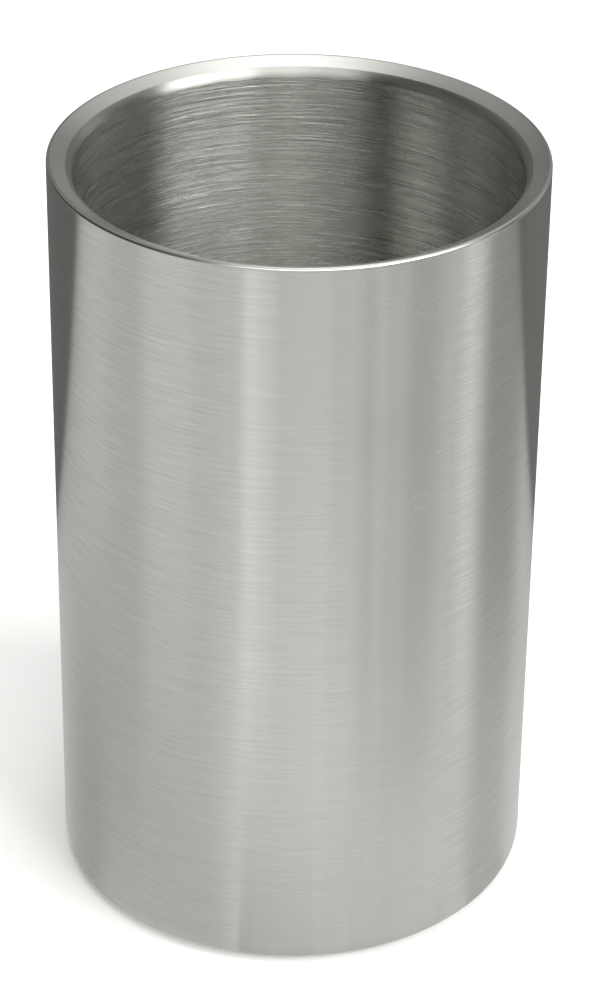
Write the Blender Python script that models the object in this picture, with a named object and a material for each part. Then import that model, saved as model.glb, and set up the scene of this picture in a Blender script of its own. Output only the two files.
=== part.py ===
"""Double-wall stainless steel bottle cooler for wine and champagne.

An outer shell and an inner liner meet at the rim and touch nowhere else, so the air
between them insulates the bottle. Every piece is a body of revolution about Z. The
origin is on the table, under the centre of the cooler.
"""

import math

import bmesh
import bpy

# Driving dimensions, in metres.
HEIGHT = 0.196
OUTER_DIAMETER = 0.120
DOUBLE_WALL = 0.006
SHEET = 0.0006
JOINT_GAP = 0.0003

# The rim: the liner slopes up and out over the wall cavity, and turns down to the shell.
RIM_SLOPE_DEG = 25.0
RIM_INNER_BEND = 0.0002
RIM_ROLL_RADIUS = 0.0025
RIM_SKIRT = 0.0012

# The foot of the shell, and the base plate that closes it.
FOOT_CLEARANCE = 0.0005
BASE_EDGE_RADIUS = 0.005
BASE_FLANGE_WIDTH = 0.005
PLATE_STEP_RISE = 0.0016
PLATE_STEP_RUN = 0.003
PLATE_STEP_INSET = 0.0012

# The pressed floor of the liner.
FLOOR_CAVITY = 0.0053
FLOOR_CORNER_RADIUS = 0.006
FLOOR_UPSTAND = 0.008

# The rubber foot ring, and the plug in the vent hole.
FOOT_RING_WIDTH = 0.0065
FOOT_RING_EDGE = 0.0004
VENT_DIAMETER = 0.005
PLUG_CAP_OVERLAP = 0.002
PLUG_CAP_THICKNESS = 0.0008
PLUG_BARB_OVERLAP = 0.0007
PLUG_BARB_HEIGHT = 0.0014
PLUG_BARB_TAPER = 0.0017

# How finely curves are divided.
ROUND_STEPS = 64
PLUG_STEPS = 24
ARC_STEP_DEG = 15.0
SHARP_EDGE_DEG = 30.0
SAME_POINT = 1e-7

# Sizes that follow from the ones above.
OUTER_RADIUS = OUTER_DIAMETER / 2
BORE_RADIUS = OUTER_RADIUS - DOUBLE_WALL
RIM_EDGE_RADIUS = RIM_INNER_BEND + SHEET
SKIRT_BOTTOM = HEIGHT - RIM_EDGE_RADIUS - RIM_SKIRT
SHELL_TOP = SKIRT_BOTTOM - JOINT_GAP
PLATE_RADIUS = OUTER_RADIUS - BASE_EDGE_RADIUS
PLATE_EDGE_Z = FOOT_CLEARANCE + SHEET + JOINT_GAP
PLATE_CENTRE_Z = PLATE_EDGE_Z + PLATE_STEP_RISE
BASE_OPENING_RADIUS = PLATE_RADIUS - BASE_FLANGE_WIDTH
FOOT_RING_OUTER = BASE_OPENING_RADIUS - JOINT_GAP
FOOT_RING_INNER = FOOT_RING_OUTER - FOOT_RING_WIDTH
FLOOR_Z = PLATE_CENTRE_Z + SHEET + FLOOR_CAVITY + SHEET
FLOOR_TOP = FLOOR_Z + FLOOR_UPSTAND
LINER_BOTTOM = FLOOR_TOP + JOINT_GAP
VENT_RADIUS = VENT_DIAMETER / 2

STEEL_COLOUR = (0.60, 0.60, 0.565, 1.0)
STEEL_ROUGHNESS = 0.35
RUBBER_COLOUR = (0.035, 0.035, 0.037, 1.0)
RUBBER_ROUGHNESS = 0.7


def clear_scene():
    for obj in list(bpy.data.objects):
        bpy.data.objects.remove(obj)


def surface(name, colour, metallic, roughness):
    """A material with one colour, for a sub-part of its own."""
    made = bpy.data.materials.new(name)
    made.use_nodes = True
    shader = made.node_tree.nodes["Principled BSDF"]
    shader.inputs["Base Color"].default_value = colour
    shader.inputs["Metallic"].default_value = metallic
    shader.inputs["Roughness"].default_value = roughness
    return made


def steel(name):
    return surface(name, STEEL_COLOUR, 1.0, STEEL_ROUGHNESS)


def rubber(name):
    return surface(name, RUBBER_COLOUR, 0.0, RUBBER_ROUGHNESS)


def arc(centre, radius, start_deg, end_deg):
    """Points (r, z) along an arc, both ends included."""
    turn = end_deg - start_deg
    steps = max(2, math.ceil(abs(turn) / ARC_STEP_DEG))
    angles = [math.radians(start_deg + turn * i / steps) for i in range(steps + 1)]
    return [(centre[0] + radius * math.cos(a), centre[1] + radius * math.sin(a)) for a in angles]


def turned_piece(name, outline, steps, finish):
    """Spins an outline of (r, z) points about Z: a closed loop, or one that starts and ends on the axis."""
    shape = bmesh.new()
    points = [shape.verts.new((r, 0.0, z)) for r, z in outline]
    pairs = list(zip(points, points[1:]))
    if outline[0][0] > 0:
        pairs.append((points[-1], points[0]))
    edges = [shape.edges.new(pair) for pair in pairs]
    bmesh.ops.spin(
        shape, geom=points + edges, axis=(0, 0, 1), cent=(0, 0, 0), angle=math.tau, steps=steps, use_merge=True
    )
    bmesh.ops.remove_doubles(shape, verts=shape.verts, dist=SAME_POINT)
    bmesh.ops.dissolve_degenerate(shape, edges=shape.edges, dist=SAME_POINT)
    bmesh.ops.recalc_face_normals(shape, faces=shape.faces)
    mesh = bpy.data.meshes.new(name)
    shape.to_mesh(mesh)
    shape.free()
    mesh.materials.append(finish)
    mesh.shade_smooth()
    mesh.set_sharp_from_angle(angle=math.radians(SHARP_EDGE_DEG))
    piece = bpy.data.objects.new(name, mesh)
    bpy.context.scene.collection.objects.link(piece)


def sheet_section(face):
    """The closed section of a sheet whose two sides are face(0) and face(SHEET)."""
    return face(0.0) + face(SHEET)[::-1]


def liner_face(depth):
    """One side of the liner: from its skirt, over the sloping rim and down the bore."""
    slope = math.radians(RIM_SLOPE_DEG)
    crest_deg = 90.0 + RIM_SLOPE_DEG
    edge_r = OUTER_RADIUS - RIM_EDGE_RADIUS
    edge_z = HEIGHT - RIM_EDGE_RADIUS
    roll_r = BORE_RADIUS + RIM_ROLL_RADIUS
    slope_run = edge_r - roll_r + (RIM_ROLL_RADIUS - RIM_EDGE_RADIUS) * math.sin(slope)
    slope_drop = slope_run * math.tan(slope)
    roll_z = edge_z - slope_drop - (RIM_ROLL_RADIUS - RIM_EDGE_RADIUS) * math.cos(slope)
    return [
        (OUTER_RADIUS - depth, SKIRT_BOTTOM),
        *arc((edge_r, edge_z), RIM_EDGE_RADIUS - depth, 0.0, crest_deg),
        *arc((roll_r, roll_z), RIM_ROLL_RADIUS - depth, crest_deg, 180.0),
        (BORE_RADIUS + depth, LINER_BOTTOM),
    ]


def shell_face(depth):
    """One side of the shell: from its top edge, down round the base edge and along the flange."""
    edge_centre = (OUTER_RADIUS - BASE_EDGE_RADIUS, FOOT_CLEARANCE + BASE_EDGE_RADIUS)
    return [
        (OUTER_RADIUS - depth, SHELL_TOP),
        *arc(edge_centre, BASE_EDGE_RADIUS - depth, 0.0, -90.0),
        (BASE_OPENING_RADIUS, FOOT_CLEARANCE + depth),
    ]


def floor_face(depth):
    """One side of the liner's floor: from the top of its upstand to the axis."""
    corner_centre = (BORE_RADIUS - FLOOR_CORNER_RADIUS, FLOOR_Z + FLOOR_CORNER_RADIUS)
    return [
        (BORE_RADIUS + depth, FLOOR_TOP),
        *arc(corner_centre, FLOOR_CORNER_RADIUS + depth, 0.0, -90.0),
        (0.0, FLOOR_Z - depth),
    ]


def plate_face(depth):
    """One side of the base plate: flat over the flange and the foot ring, a raised centre, the vent hole."""
    step_outer = FOOT_RING_INNER - PLATE_STEP_INSET
    return [
        (PLATE_RADIUS, PLATE_EDGE_Z + depth),
        (step_outer, PLATE_EDGE_Z + depth),
        (step_outer - PLATE_STEP_RUN, PLATE_CENTRE_Z + depth),
        (VENT_RADIUS, PLATE_CENTRE_Z + depth),
    ]


def foot_ring_section():
    """A flat ring with rounded lower edges, under the base plate and inside the shell's flange."""
    top = PLATE_EDGE_Z - JOINT_GAP
    edge = FOOT_RING_EDGE
    return [
        (FOOT_RING_OUTER, top),
        *arc((FOOT_RING_OUTER - edge, edge), edge, 0.0, -90.0),
        *arc((FOOT_RING_INNER + edge, edge), edge, -90.0, -180.0),
        (FOOT_RING_INNER, top),
    ]


def vent_plug_section():
    """A push-in plug: a barb above the plate, a stem in the hole and a cap below."""
    cap_radius = VENT_RADIUS + PLUG_CAP_OVERLAP
    stem_radius = VENT_RADIUS - JOINT_GAP
    barb_radius = VENT_RADIUS + PLUG_BARB_OVERLAP
    cap_top = PLATE_CENTRE_Z - JOINT_GAP
    cap_bottom = cap_top - PLUG_CAP_THICKNESS
    barb_bottom = PLATE_CENTRE_Z + SHEET + JOINT_GAP
    barb_top = barb_bottom + PLUG_BARB_HEIGHT
    cap_edge = PLUG_CAP_THICKNESS / 2
    return [
        (0.0, barb_top),
        (barb_radius - PLUG_BARB_TAPER, barb_top),
        (barb_radius, barb_bottom),
        (stem_radius, barb_bottom),
        (stem_radius, cap_top),
        (cap_radius, cap_top),
        *arc((cap_radius - cap_edge, cap_bottom + cap_edge), cap_edge, 0.0, -90.0),
        (0.0, cap_bottom),
    ]


def main():
    clear_scene()
    turned_piece("outer_shell", sheet_section(shell_face), ROUND_STEPS, steel("shell_steel"))
    turned_piece("inner_liner", sheet_section(liner_face), ROUND_STEPS, steel("liner_steel"))
    turned_piece("liner_floor", sheet_section(floor_face), ROUND_STEPS, steel("floor_steel"))
    turned_piece("base_plate", sheet_section(plate_face), ROUND_STEPS, steel("plate_steel"))
    turned_piece("foot_ring", foot_ring_section(), ROUND_STEPS, rubber("foot_rubber"))
    turned_piece("vent_plug", vent_plug_section(), PLUG_STEPS, rubber("plug_rubber"))


main()
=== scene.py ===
"""The looks of the double-wall bottle cooler: finely turned steel pieces, and the studio round it."""

import math

import bmesh
import bpy
from mathutils import Matrix, Vector


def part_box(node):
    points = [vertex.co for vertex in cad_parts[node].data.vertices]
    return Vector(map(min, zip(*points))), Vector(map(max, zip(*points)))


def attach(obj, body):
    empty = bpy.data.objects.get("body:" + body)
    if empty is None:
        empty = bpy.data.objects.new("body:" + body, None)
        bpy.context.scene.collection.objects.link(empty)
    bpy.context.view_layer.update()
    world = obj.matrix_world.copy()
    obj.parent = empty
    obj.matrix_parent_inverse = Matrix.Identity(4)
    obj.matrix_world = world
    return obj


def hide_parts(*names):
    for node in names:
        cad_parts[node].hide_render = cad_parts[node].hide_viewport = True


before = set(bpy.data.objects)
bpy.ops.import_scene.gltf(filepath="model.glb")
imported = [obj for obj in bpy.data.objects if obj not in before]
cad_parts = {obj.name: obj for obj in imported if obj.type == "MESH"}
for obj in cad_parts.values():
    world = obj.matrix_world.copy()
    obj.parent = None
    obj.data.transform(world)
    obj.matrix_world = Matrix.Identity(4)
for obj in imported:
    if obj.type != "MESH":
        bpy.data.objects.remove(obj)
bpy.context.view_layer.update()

# Sizes that the frame gives, in metres.
shell_low, shell_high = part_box("outer_shell")
liner_low, liner_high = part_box("inner_liner")
floor_low, floor_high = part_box("liner_floor")
plate_low, plate_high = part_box("base_plate")
ring_low, ring_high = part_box("foot_ring")
plug_low, plug_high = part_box("vent_plug")

# Sizes of the sheet-metal work, as the CAD pieces have them.
SHEET = 0.0006
RIM_SLOPE_DEG = 25.0
RIM_EDGE_RADIUS = 0.0008
RIM_ROLL_RADIUS = 0.0025
BASE_EDGE_RADIUS = 0.005
BASE_FLANGE_WIDTH = 0.005
FLOOR_CORNER_RADIUS = 0.006
PLATE_STEP_RUN = 0.003
PLATE_STEP_INSET = 0.0012
FOOT_RING_WIDTH = 0.0065
FOOT_RING_EDGE = 0.0004
VENT_RADIUS = 0.0025
PLUG_STEM_RADIUS = 0.0022
PLUG_BARB_RADIUS = 0.0032
PLUG_NOSE_RADIUS = 0.0015
PLUG_BARB_LENGTH = 0.0014
PLUG_CAP_HEIGHT = 0.0008
PLUG_CAP_EDGE = 0.0004

# How far below the top the rim's satin finish ends, and then the finish of its rolled inner edge.
SATIN_DEPTH = 0.00175
ROLL_DEPTH = 0.0040

TOP = liner_high.z
OUTER_RADIUS = shell_high.x
BORE_RADIUS = floor_high.x - SHEET
FOOT_Z = shell_low.z
FLOOR_Z = floor_low.z + SHEET
SEAM_Z = liner_low.z
RIM_EDGE_Z = TOP - RIM_EDGE_RADIUS
SATIN_FOOT_Z = TOP - SATIN_DEPTH
ROLL_FOOT_Z = TOP - ROLL_DEPTH

# How finely the turned pieces are divided, and when two of their points are one.
ROUND_STEPS = 256
PLUG_STEPS = 96
ARC_STEP_DEG = 6.0
SHARP_EDGE_DEG = 30.0
SAME_PLACE = 1e-7


# ---------------------------------------------------------------- turned pieces


def arc(centre, radius, start_deg, end_deg):
    """Points (r, z) along an arc, both ends included."""
    turn = end_deg - start_deg
    steps = max(3, math.ceil(abs(turn) / ARC_STEP_DEG))
    angles = [math.radians(start_deg + turn * i / steps) for i in range(steps + 1)]
    return [(centre[0] + radius * math.cos(a), centre[1] + radius * math.sin(a)) for a in angles]


def turned_piece(name, outline, steps=ROUND_STEPS):
    """Spins a closed outline of (r, z) points about Z. Where it starts on the axis it ends there."""
    shape = bmesh.new()
    points = [shape.verts.new((r, 0.0, z)) for r, z in outline]
    pairs = list(zip(points, points[1:]))
    if outline[0][0] > 0:
        pairs.append((points[-1], points[0]))
    edges = [shape.edges.new(pair) for pair in pairs]
    bmesh.ops.spin(
        shape,
        geom=points + edges,
        axis=(0, 0, 1),
        cent=(0, 0, 0),
        angle=math.tau,
        steps=steps,
        use_merge=True,
    )
    bmesh.ops.remove_doubles(shape, verts=shape.verts, dist=SAME_PLACE)
    bmesh.ops.dissolve_degenerate(shape, edges=shape.edges, dist=SAME_PLACE)
    bmesh.ops.recalc_face_normals(shape, faces=shape.faces)
    mesh = bpy.data.meshes.new(name)
    shape.to_mesh(mesh)
    shape.free()
    mesh.shade_smooth()
    mesh.set_sharp_from_angle(angle=math.radians(SHARP_EDGE_DEG))
    piece = bpy.data.objects.new(name, mesh)
    bpy.context.scene.collection.objects.link(piece)
    return piece


def sheet_section(face):
    """The closed section of a sheet whose two sides are face(0) and face(SHEET)."""
    return face(0.0) + face(SHEET)[::-1]


def shell_face(depth):
    """One side of the shell: from the rim's edge, down round the base edge and along the flange."""
    edge_centre = (OUTER_RADIUS - BASE_EDGE_RADIUS, FOOT_Z + BASE_EDGE_RADIUS)
    return [
        (OUTER_RADIUS - depth, RIM_EDGE_Z),
        *arc(edge_centre, BASE_EDGE_RADIUS - depth, 0.0, -90.0),
        (edge_centre[0] - BASE_FLANGE_WIDTH, FOOT_Z + depth),
    ]


def liner_face(depth):
    """One side of the liner: from the rim's edge, over the sloping rim and down the bore."""
    slope = math.radians(RIM_SLOPE_DEG)
    crest_deg = 90.0 + RIM_SLOPE_DEG
    edge_r = OUTER_RADIUS - RIM_EDGE_RADIUS
    roll_r = BORE_RADIUS + RIM_ROLL_RADIUS
    slope_run = edge_r - roll_r + (RIM_ROLL_RADIUS - RIM_EDGE_RADIUS) * math.sin(slope)
    slope_drop = slope_run * math.tan(slope)
    roll_z = RIM_EDGE_Z - slope_drop - (RIM_ROLL_RADIUS - RIM_EDGE_RADIUS) * math.cos(slope)
    return [
        *arc((edge_r, RIM_EDGE_Z), RIM_EDGE_RADIUS - depth, 0.0, crest_deg),
        *arc((roll_r, roll_z), RIM_ROLL_RADIUS - depth, crest_deg, 180.0),
        (BORE_RADIUS + depth, SEAM_Z),
    ]


def floor_face(depth):
    """One side of the liner's floor: from its seam with the liner to the axis."""
    corner_centre = (BORE_RADIUS - FLOOR_CORNER_RADIUS, FLOOR_Z + FLOOR_CORNER_RADIUS)
    return [
        (BORE_RADIUS + depth, SEAM_Z),
        *arc(corner_centre, FLOOR_CORNER_RADIUS + depth, 0.0, -90.0),
        (0.0, FLOOR_Z - depth),
    ]


def plate_face(depth):
    """One side of the base plate: flat edge, pressed step, raised centre, vent hole."""
    edge_z = plate_low.z
    centre_z = plate_high.z - SHEET
    step_outer = ring_high.x - FOOT_RING_WIDTH - PLATE_STEP_INSET
    return [
        (plate_high.x, edge_z + depth),
        (step_outer, edge_z + depth),
        (step_outer - PLATE_STEP_RUN, centre_z + depth),
        (VENT_RADIUS, centre_z + depth),
    ]


def ring_section():
    """The foot ring: a flat rubber band with round lower edges."""
    outer = ring_high.x
    inner = outer - FOOT_RING_WIDTH
    edge_z = ring_low.z + FOOT_RING_EDGE
    return [
        (outer, ring_high.z),
        *arc((outer - FOOT_RING_EDGE, edge_z), FOOT_RING_EDGE, 0.0, -90.0),
        *arc((inner + FOOT_RING_EDGE, edge_z), FOOT_RING_EDGE, -90.0, -180.0),
        (inner, ring_high.z),
    ]


def plug_section():
    """The vent plug: a round cap below the plate, a stem in its hole and a barb above it."""
    cap_top = plug_low.z + PLUG_CAP_HEIGHT
    barb_z = plug_high.z - PLUG_BARB_LENGTH
    edge_centre = (plug_high.x - PLUG_CAP_EDGE, plug_low.z + PLUG_CAP_EDGE)
    return [
        (0.0, plug_high.z),
        (PLUG_NOSE_RADIUS, plug_high.z),
        (PLUG_BARB_RADIUS, barb_z),
        (PLUG_STEM_RADIUS, barb_z),
        (PLUG_STEM_RADIUS, cap_top),
        (plug_high.x, cap_top),
        *arc(edge_centre, PLUG_CAP_EDGE, 0.0, -90.0),
        (0.0, plug_low.z),
    ]


# ---------------------------------------------------------------- node trees


class Nodes:
    """A few short calls for building a node tree."""

    def __init__(self, tree):
        self.tree = tree
        tree.nodes.clear()

    def add(self, kind, settings=None, **inputs):
        """A new node. Its inputs go by name, with _ for each space, or by number: i0, i1 and so on."""
        node = self.tree.nodes.new(kind)
        for key, value in (settings or {}).items():
            setattr(node, key, value)
        for key, value in inputs.items():
            self.put(node, key, value)
        return node

    def put(self, node, key, value):
        """Links an output to an input, or sets a plain value on the input itself."""
        numbered = key[0] == "i" and key[1:].isdigit()
        socket = node.inputs[int(key[1:]) if numbered else key.replace("_", " ")]
        if isinstance(value, bpy.types.NodeSocket):
            self.tree.links.new(value, socket)
        else:
            socket.default_value = value

    def finish(self, shader, kind="ShaderNodeOutputMaterial"):
        """Makes a shader the tree's result."""
        self.add(kind, i0=shader.outputs[0])

    def maths(self, operation, a, b=0.0, c=0.0):
        return self.add("ShaderNodeMath", {"operation": operation}, i0=a, i1=b, i2=c).outputs[0]

    def measure(self, operation, a, b=(0.0, 0.0, 0.0)):
        """Vector maths that gives one number."""
        node = self.add("ShaderNodeVectorMath", {"operation": operation}, i0=a, i1=b)
        return node.outputs["Value"]

    def total(self, *terms):
        so_far = terms[0]
        for term in terms[1:]:
            so_far = self.maths("ADD", so_far, term)
        return so_far

    def ramp(self, value, low, high, to_low=0.0, to_high=1.0, smooth=False):
        """Takes low..high to to_low..to_high, and holds the ends beyond them."""
        node = self.add(
            "ShaderNodeMapRange",
            {"interpolation_type": "SMOOTHSTEP" if smooth else "LINEAR"},
            Value=value,
            From_Min=low,
            From_Max=high,
            To_Min=to_low,
            To_Max=to_high,
        )
        return node.outputs[0]

    def mix(self, factor, first, second, blend="MIX"):
        """Blends two colours. A Mix node's colours are its inputs 6 and 7 and its output 2."""
        settings = {"data_type": "RGBA", "blend_type": blend}
        return self.add("ShaderNodeMix", settings, i0=factor, i6=first, i7=second).outputs[2]

    def noise(self, vector, scale=1.0, detail=2.0, roughness=0.5):
        node = self.add(
            "ShaderNodeTexNoise",
            {"noise_dimensions": "3D"},
            Vector=vector,
            Scale=scale,
            Detail=detail,
            Roughness=roughness,
        )
        return node.outputs[0]

    def place(self):
        """The place on the object, in metres."""
        return self.add("ShaderNodeTexCoord").outputs["Object"]


def new_material(name):
    made = bpy.data.materials.new(name)
    made.use_nodes = True
    return made, Nodes(made.node_tree)


# ---------------------------------------------------------------- materials

STEEL_TINT = (0.64, 0.636, 0.610, 1.0)
LINING_TINT = (0.64, 0.637, 0.605, 1.0)
# Brush lines, a layer in each row: weight, noise cells per metre round the axis and along the profile, tilt.
WALL_BRUSH = (
    (0.6, 110.0, 2700.0, (0.006, 0.0)),
    (0.4, 55.0, 1700.0, (0.0, 0.004)),
)
BORE_BRUSH = (
    (0.45, 28.0, 3200.0, (0.0, 0.0)),
    (0.35, 30.0, 1600.0, (0.05, 0.02)),
    (0.20, 16.0, 800.0, (-0.04, 0.03)),
)
RIM_GRAIN = ((1.0, 60.0, 3000.0, (0.0, 0.0)),)
BRUSH_RAGGEDNESS = 0.6
# A quarter turn from the tangent round the axis, so that reflections spread along the profile.
BRUSH_TURN = 0.25

# Faint clouds in each steel: noise cells per metre, the noise that counts, and the changes it makes.
CLOUD_SCALE = 25.0
CLOUD_DETAIL = 3.0
CLOUD_RANGE = (0.3, 0.7)
CLOUD_TONE = (0.985, 1.015)
CLOUD_ROUGHNESS = (-0.01, 0.01)

# The rubber's colour and roughness at the two ends of its grain, and the grain itself.
RUBBER_DARK = (0.028, 0.028, 0.030, 1.0)
RUBBER_LIGHT = (0.050, 0.050, 0.052, 1.0)
RUBBER_ROUGHNESS = (0.6, 0.8)
RUBBER_GRAIN_SCALE = 900.0
RUBBER_GRAIN_DETAIL = 4.0
RUBBER_GRAIN_RANGE = (0.3, 0.7)
RUBBER_GRAIN_DEPTH = 0.0001
RUBBER_GRAIN_STRENGTH = 0.3


def brush_coordinates(n, along, across, tilt):
    """Coordinates that run slowly round the axis and fast along the profile, for circular brush lines.

    tilt leans the planes that the lines lie in, so that two layers of lines cross each other."""
    x, y, z = n.add("ShaderNodeSeparateXYZ", Vector=n.place()).outputs
    r = n.maths("SQRT", n.maths("ADD", n.maths("MULTIPLY", x, x), n.maths("MULTIPLY", y, y)))
    leaning = n.maths("ADD", n.maths("MULTIPLY", x, tilt[0]), n.maths("MULTIPLY", y, tilt[1]))
    joined = n.add(
        "ShaderNodeCombineXYZ",
        X=n.maths("MULTIPLY", x, along),
        Y=n.maths("MULTIPLY", y, along),
        Z=n.maths("MULTIPLY", n.total(r, z, leaning), across),
    )
    return joined.outputs[0]


def brush_lines(n, brush):
    """The weighted sum of a brush's layers of lines."""
    layers = []
    for weight, along, across, tilt in brush:
        lines = n.noise(brush_coordinates(n, along, across, tilt), roughness=BRUSH_RAGGEDNESS)
        layers.append(n.maths("MULTIPLY", lines, weight))
    return n.total(*layers)


def steel(name, tint, brush, spread, roughness, rough_change, tone_change, anisotropy, groove):
    """Brushed steel: its brush lines change its tone, its roughness and its height.

    spread is how far the lines' noise goes from its middle, 0.5, at full change.
    groove is the depth of the lines in metres."""
    made, n = new_material(name)
    lines = brush_lines(n, brush)
    low, high = 0.5 - spread, 0.5 + spread
    line_tone = n.ramp(lines, low, high, 1.0 - tone_change, 1.0 + tone_change)
    line_roughness = n.ramp(lines, low, high, roughness + rough_change, roughness - rough_change)
    cloud = n.noise(n.place(), CLOUD_SCALE, CLOUD_DETAIL)
    tone = n.maths("MULTIPLY", line_tone, n.ramp(cloud, *CLOUD_RANGE, *CLOUD_TONE))
    shader = n.add(
        "ShaderNodeBsdfPrincipled",
        Base_Color=n.mix(1.0, tint, tone, "MULTIPLY"),
        Metallic=1.0,
        Roughness=n.maths("ADD", line_roughness, n.ramp(cloud, *CLOUD_RANGE, *CLOUD_ROUGHNESS)),
        Anisotropic=anisotropy,
        Anisotropic_Rotation=BRUSH_TURN,
        Tangent=n.add("ShaderNodeTangent", {"direction_type": "RADIAL", "axis": "Z"}).outputs[0],
        Normal=n.add("ShaderNodeBump", Distance=groove, Height=lines).outputs[0],
    )
    n.finish(shader)
    return made


def wall_steel():
    """The outer wall: very fine and even lines, which spread reflections along the wall and not round it."""
    return steel(
        "wall_steel",
        STEEL_TINT,
        WALL_BRUSH,
        spread=0.15,
        roughness=0.25,
        rough_change=0.02,
        tone_change=0.028,
        anisotropy=1.0,
        groove=0.4e-6,
    )


def lining_steel():
    """The bore and its floor: coarse, deep lines that cross each other, light and dark."""
    return steel(
        "lining_steel",
        LINING_TINT,
        BORE_BRUSH,
        spread=0.13,
        roughness=0.26,
        rough_change=0.04,
        tone_change=0.20,
        anisotropy=1.0,
        groove=280e-6,
    )


def rim_steel():
    """The rim's slope and outer edge: satin, nearly without lines."""
    return steel(
        "rim_steel",
        STEEL_TINT,
        RIM_GRAIN,
        spread=0.2,
        roughness=0.34,
        rough_change=0.02,
        tone_change=0.02,
        anisotropy=0.2,
        groove=3e-6,
    )


def roll_steel():
    """The rim's rolled inner edge: the bore's lines, fainter and softer."""
    return steel(
        "roll_steel",
        LINING_TINT,
        BORE_BRUSH,
        spread=0.13,
        roughness=0.42,
        rough_change=0.03,
        tone_change=0.06,
        anisotropy=1.0,
        groove=40e-6,
    )


def base_steel():
    """The base plate: duller, as it comes from the press."""
    return steel(
        "base_steel",
        STEEL_TINT,
        WALL_BRUSH,
        spread=0.2,
        roughness=0.45,
        rough_change=0.03,
        tone_change=0.04,
        anisotropy=0.5,
        groove=8e-6,
    )


def black_rubber():
    """The foot ring and the plug: matt, with a fine grain."""
    made, n = new_material("foot_rubber_finish")
    grain = n.noise(n.place(), RUBBER_GRAIN_SCALE, RUBBER_GRAIN_DETAIL)
    bumped = n.add(
        "ShaderNodeBump",
        Strength=RUBBER_GRAIN_STRENGTH,
        Distance=RUBBER_GRAIN_DEPTH,
        Height=grain,
    )
    shader = n.add(
        "ShaderNodeBsdfPrincipled",
        Base_Color=n.mix(grain, RUBBER_DARK, RUBBER_LIGHT),
        Roughness=n.ramp(grain, *RUBBER_GRAIN_RANGE, *RUBBER_ROUGHNESS),
        Normal=bumped.outputs[0],
    )
    n.finish(shader)
    return made


# ---------------------------------------------------------------- the six pieces


def dress(piece, material, node):
    """Gives a piece its material, and puts it in the place of its CAD node."""
    piece.data.materials.append(material)
    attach(piece, "root")
    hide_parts(node)


def finish_rim(liner, satin, rolled):
    """Gives the rim's slope and outer edge a satin finish, and its rolled inner edge a fine brushed one."""
    liner.data.materials.append(satin)
    liner.data.materials.append(rolled)
    for face in liner.data.polygons:
        face_foot = min(liner.data.vertices[i].co.z for i in face.vertices)
        if face_foot > SATIN_FOOT_Z:
            face.material_index = 1
        elif face_foot > ROLL_FOOT_Z:
            face.material_index = 2


def make_pieces():
    wall = wall_steel()
    lining = lining_steel()
    satin = rim_steel()
    rolled = roll_steel()
    base = base_steel()
    rubber = black_rubber()
    dress(turned_piece("shell_wall", sheet_section(shell_face)), wall, "outer_shell")
    liner = turned_piece("liner_wall", sheet_section(liner_face))
    dress(liner, lining, "inner_liner")
    finish_rim(liner, satin, rolled)
    dress(turned_piece("floor_pan", sheet_section(floor_face)), lining, "liner_floor")
    dress(turned_piece("base_disc", sheet_section(plate_face)), base, "base_plate")
    dress(turned_piece("foot_band", ring_section()), rubber, "foot_ring")
    dress(turned_piece("vent_button", plug_section(), PLUG_STEPS), rubber, "vent_plug")


# ---------------------------------------------------------------- camera

# The camera, which frames the cooler in a picture of 600 x 985.
CAMERA_DISTANCE = 14.1 * OUTER_RADIUS
CAMERA_ELEVATION_DEG = 31.03
CAMERA_ROLL_DEG = 0.66
CAMERA_SHIFT = (0.0048, 0.0154)
CAMERA_CLIP = (0.01, 50.0)
SENSOR_MM = 36.0
LENS_MM = 122.8


def make_camera():
    """A long lens from the front, looking down, with the slight roll of a hand-held shot."""
    elevation = math.radians(CAMERA_ELEVATION_DEG)
    target = Vector((0.0, 0.0, (TOP + FOOT_Z) / 2))
    back = Vector((0.0, -math.cos(elevation), math.sin(elevation)))
    data = bpy.data.cameras.new("camera")
    data.sensor_width = SENSOR_MM
    data.lens = LENS_MM
    data.shift_x, data.shift_y = CAMERA_SHIFT
    data.clip_start, data.clip_end = CAMERA_CLIP
    camera = bpy.data.objects.new("camera", data)
    place = Matrix.Translation(target + back * CAMERA_DISTANCE)
    aim = (-back).to_track_quat("-Z", "Y").to_matrix().to_4x4()
    roll = Matrix.Rotation(math.radians(CAMERA_ROLL_DEG), 4, "Z")
    camera.matrix_world = place @ aim @ roll
    bpy.context.scene.collection.objects.link(camera)
    bpy.context.scene.camera = camera


# ---------------------------------------------------------------- studio

# The room's own light, and the bands of elevation that its panels fill, in degrees.
ROOM_TINT = (1.0, 0.997, 0.985, 1.0)
ROOM_LEVEL = 0.02
LOW_BAND_FADE = (13.0, 23.0)
HIGH_BAND_RISE = (17.0, 27.0)
HIGH_BAND_FADE = (47.0, 57.0)
# Panels: from azimuth, to azimuth, softness of the edges, strength.
LOW_PANELS = (
    (114, 137, 4, 0.70),
    (137, 179, 6, 0.33),
    (-179, -140, 8, 0.24),
)
HIGH_PANELS = (
    (-34, -4, 2, 2.9),
    (-4, 14, 2, 4.4),
    (14, 27, 2, 2.9),
    (27, 43, 1, 8.0),
    (46, 61, 1, 8.2),
    (63, 76, 1, 10.5),
    (-165, -125, 8, 0.30),
    (130, 179, 8, 0.18),
)
# Softboxes: azimuth, elevation, radius, softness, strength.
SOFTBOXES = (
    (164, 75, 14, 6, 1.6),
    (150, 64, 22, 18, 0.62),
    (-148, 62, 14, 10, 0.15),
    (0, 90, 14, 8, 0.45),
)

# The painted brightness of the table as the metal mirrors it, and how far behind the axis it ends, in
# metres.
GLOW_TINT = (1.0, 1.0, 0.985, 1.0)
TABLE_LEVEL = 0.75
TABLE_END = (0.145, 0.165)
# The dark room beyond it, painted as a dim glow, from left to right.
BEYOND_X = (-0.1, 0.1)
BEYOND_LEVEL = (0.170, 0.18)
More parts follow.
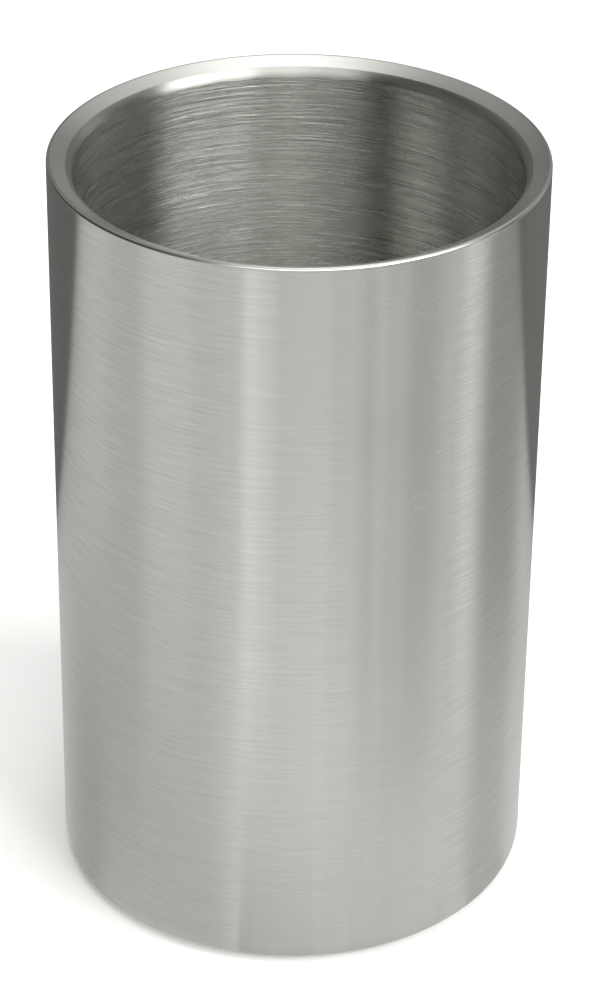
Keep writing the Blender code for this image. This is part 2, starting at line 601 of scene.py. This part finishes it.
# Painted pools of light on the table: x, y, full inside, gone outside, change.
TABLE_POOLS = (
    (0.00, -0.20, 0.05, 0.15, 0.22),
    (0.12, -0.03, 0.03, 0.12, 0.12),
    (-0.13, -0.02, 0.03, 0.12, -0.08),
)
# Sectors of the table painted lighter or darker, which the wall shows as bands of painted reflection, by
# where the wall mirrors them:
# from azimuth, to azimuth, softness, change near the cooler, change far from it.
TABLE_SECTORS = (
    (-140, -108, 10, -0.14, 0.00),
    (-118, -96, 6, -0.05, 0.03),
    (-96, -75, 4, -0.03, -0.05),
    (-73.5, -49, 1.5, -0.04, 0.14),
    (-49, -31, 3, -0.06, 0.07),
    (-24.5, -17.5, 1, -0.14, 0.27),
    (-17.5, -10, 2, -0.12, 0.10),
    (-10, 12, 3, -0.11, -0.08),
    (14, 27, 2, -0.07, -0.10),
    (27, 51, 2, -0.15, -0.26),
    (31.5, 35.5, 0.8, 0.00, -0.12),
    (36.5, 40, 1, 0.00, 0.08),
    (51, 69, 2, -0.15, -0.46),
    (69, 78.5, 3, -0.12, -0.22),
    (80.5, 92.5, 1.5, 0.00, 0.31),
    (94.5, 130, 1.5, -0.18, -0.32),
)
# The distances from the axis at which the near and the far change apply.
SECTOR_NEAR = 0.08
SECTOR_FAR = 0.30
# How many times the mirrored azimuth is worked out again from itself, to settle it.
MIRROR_ROUNDS = 3

# The plain floor, the table just above it that only reflections see, and the sphere round them, in metres.
FLOOR_COLOUR = (0.93, 0.93, 0.92, 1.0)
FLOOR_REACH = 3.0
MIRRORED_TABLE_Z = 0.0002
BACKDROP_RADIUS = 6.0
BACKDROP_DIVISIONS = (48, 24)
BACKDROP_LEVEL = 1.0
# The lamp over the floor.
LAMP_PLACE = (0.0, -0.1, 1.6)
LAMP_DIAMETER = 1.6
LAMP_WATTS = 14.0


def azimuth_of(n, x, y):
    """The azimuth of (x, y) in radians: 0 is the camera's side, and + is to its right."""
    return n.maths("ARCTAN2", x, n.maths("MULTIPLY", y, -1.0))


def in_degrees(n, angle):
    return n.maths("MULTIPLY", angle, math.degrees(1.0))


def mirrored_azimuth(n, x, y, reach):
    """Twice the azimuth at which the wall mirrors (x, y) towards a distant viewer in front, in degrees.

    reach is how far this point of the table is from the axis. Far from it, the result is its own azimuth."""
    azimuth = azimuth_of(n, x, y)
    nearness = n.maths("DIVIDE", OUTER_RADIUS, n.maths("MAXIMUM", reach, OUTER_RADIUS))
    mirrored = azimuth
    for _ in range(MIRROR_ROUNDS):
        on_wall = n.maths("SINE", n.maths("MULTIPLY", mirrored, 0.5))
        turn = n.maths("ARCSINE", n.maths("MULTIPLY", nearness, on_wall))
        mirrored = n.maths("ADD", azimuth, turn)
    return in_degrees(n, mirrored)


def sector(n, azimuth, left, right, soft):
    """1 between two azimuths and 0 outside them, with soft edges. All are in degrees."""
    middle = (left + right) / 2
    half_width = (right - left) / 2
    turned = n.maths("WRAP", n.maths("SUBTRACT", azimuth, middle), 180.0, -180.0)
    off_middle = n.maths("ABSOLUTE", turned)
    return n.ramp(off_middle, half_width - soft, half_width + soft, 1.0, 0.0, smooth=True)


def panel(n, azimuth, band, left, right, soft, strength):
    """A panel of light from one azimuth to another, within a band of elevation."""
    shape = n.maths("MULTIPLY", sector(n, azimuth, left, right, soft), band)
    return n.maths("MULTIPLY", shape, strength)


def softbox(n, direction, azimuth_deg, elevation_deg, radius, soft, strength):
    """A round light with soft edges. All its angles are in degrees."""
    azimuth = math.radians(azimuth_deg)
    elevation = math.radians(elevation_deg)
    flat = math.cos(elevation)
    aim = (math.sin(azimuth) * flat, -math.cos(azimuth) * flat, math.sin(elevation))
    facing = n.measure("DOT_PRODUCT", direction, aim)
    gone = math.cos(math.radians(radius + soft))
    full = math.cos(math.radians(max(radius - soft, 0)))
    return n.maths("MULTIPLY", n.ramp(facing, gone, full, smooth=True), strength)


def studio_world():
    """The light round the studio, above the table, by direction."""
    world = bpy.data.worlds.new("studio")
    world.use_nodes = True
    n = Nodes(world.node_tree)
    direction = n.add("ShaderNodeTexCoord").outputs["Generated"]
    x, y, z = n.add("ShaderNodeSeparateXYZ", Vector=direction).outputs
    azimuth = in_degrees(n, azimuth_of(n, x, y))
    elevation = in_degrees(n, n.maths("ARCSINE", z))
    low_band = n.ramp(elevation, *LOW_BAND_FADE, 1.0, 0.0, smooth=True)
    high_rise = n.ramp(elevation, *HIGH_BAND_RISE, smooth=True)
    high_fall = n.ramp(elevation, *HIGH_BAND_FADE, 1.0, 0.0, smooth=True)
    high_band = n.maths("MULTIPLY", high_rise, high_fall)
    lights = [panel(n, azimuth, low_band, *settings) for settings in LOW_PANELS]
    lights += [panel(n, azimuth, high_band, *settings) for settings in HIGH_PANELS]
    lights += [softbox(n, direction, *settings) for settings in SOFTBOXES]
    background = n.add("ShaderNodeBackground", Color=ROOM_TINT, Strength=n.total(*lights, ROOM_LEVEL))
    n.finish(background, "ShaderNodeOutputWorld")
    bpy.context.scene.world = world


def floor_paint():
    """Plain matt white."""
    made, n = new_material("floor_white")
    shader = n.add(
        "ShaderNodeBsdfPrincipled",
        Base_Color=FLOOR_COLOUR,
        Roughness=1.0,
        Specular_IOR_Level=0.0,
    )
    n.finish(shader)
    return made


def backdrop_glow():
    """Pale and even, whatever falls on it."""
    made, n = new_material("backdrop_pale")
    n.finish(n.add("ShaderNodeEmission", Color=GLOW_TINT, Strength=BACKDROP_LEVEL))
    return made


def painted_table_glow():
    """A painted glow for the table as the metal mirrors it: painted pools of light and painted shade in
    front, a painted dark room behind.
    """
    made, n = new_material("painted_table_glow")
    place = n.place()
    x, y, _ = n.add("ShaderNodeSeparateXYZ", Vector=place).outputs
    reach = n.measure("LENGTH", place)
    level = TABLE_LEVEL
    # Painted pools of light on the glowing table.
    for pool_x, pool_y, full, gone, change in TABLE_POOLS:
        away = n.measure("DISTANCE", place, (pool_x, pool_y, 0.0))
        level = n.maths("ADD", n.ramp(away, full, gone, change, 0.0, smooth=True), level)
    azimuth = mirrored_azimuth(n, x, y, reach)
    # Painted bands of light and shade, placed by where the wall mirrors them.
    for left, right, soft, near_change, far_change in TABLE_SECTORS:
        change = n.ramp(reach, SECTOR_NEAR, SECTOR_FAR, near_change, far_change, smooth=True)
        level = n.maths("ADD", n.maths("MULTIPLY", sector(n, azimuth, left, right, soft), change), level)
    # The painted dark room past the table's end.
    past_end = n.ramp(y, *TABLE_END, smooth=True)
    on_table = n.maths("MULTIPLY", level, n.maths("SUBTRACT", 1.0, past_end))
    beyond = n.maths("MULTIPLY", n.ramp(x, *BEYOND_X, *BEYOND_LEVEL), past_end)
    strength = n.maths("ADD", on_table, beyond)
    n.finish(n.add("ShaderNodeEmission", Color=GLOW_TINT, Strength=strength))
    return made


def stage_object(name, mesh, material):
    """A part of the studio, which isn't part of the cooler."""
    mesh.materials.append(material)
    made = bpy.data.objects.new(name, mesh)
    bpy.context.scene.collection.objects.link(made)
    return made


def stage_square(name, z, material):
    """A wide flat square at height z."""
    reach = FLOOR_REACH
    corners = [(-reach, -reach, z), (reach, -reach, z), (reach, reach, z), (-reach, reach, z)]
    mesh = bpy.data.meshes.new(name)
    mesh.from_pydata(corners, [], [(0, 1, 2, 3)])
    return stage_object(name, mesh, material)


def make_floor():
    stage_square("floor", 0.0, floor_paint())


def make_backdrop():
    """A pale sphere round the studio that only the camera sees."""
    mesh = bpy.data.meshes.new("backdrop")
    shape = bmesh.new()
    around, upward = BACKDROP_DIVISIONS
    bmesh.ops.create_uvsphere(shape, u_segments=around, v_segments=upward, radius=BACKDROP_RADIUS)
    shape.to_mesh(mesh)
    shape.free()
    backdrop = stage_object("backdrop", mesh, backdrop_glow())
    backdrop.visible_diffuse = False
    backdrop.visible_glossy = False
    backdrop.visible_shadow = False
    backdrop.visible_transmission = False


def make_mirrored_table():
    """The table that only reflections see, just above the plain floor: a glowing card painted with light and
    shade, which the metal shows as painted reflections.
    """
    table = stage_square("mirrored_table", MIRRORED_TABLE_Z, painted_table_glow())
    table.visible_camera = False
    table.visible_diffuse = False
    table.visible_shadow = False
    table.visible_transmission = False
    table.visible_volume_scatter = False


def floor_light():
    """A wide overhead light that brightens the floor and stays out of the metal's reflections."""
    data = bpy.data.lights.new("floor_light", "AREA")
    data.shape = "DISK"
    data.size = LAMP_DIAMETER
    data.energy = LAMP_WATTS
    lamp = bpy.data.objects.new("floor_light", data)
    lamp.location = LAMP_PLACE
    lamp.visible_glossy = False
    bpy.context.scene.collection.objects.link(lamp)


def set_view():
    """Shows brightness as it is, with no film look."""
    bpy.context.scene.view_settings.view_transform = "Standard"
    bpy.context.scene.view_settings.look = "None"


make_pieces()
make_camera()
studio_world()
make_floor()
make_mirrored_table()
make_backdrop()
floor_light()
set_view()
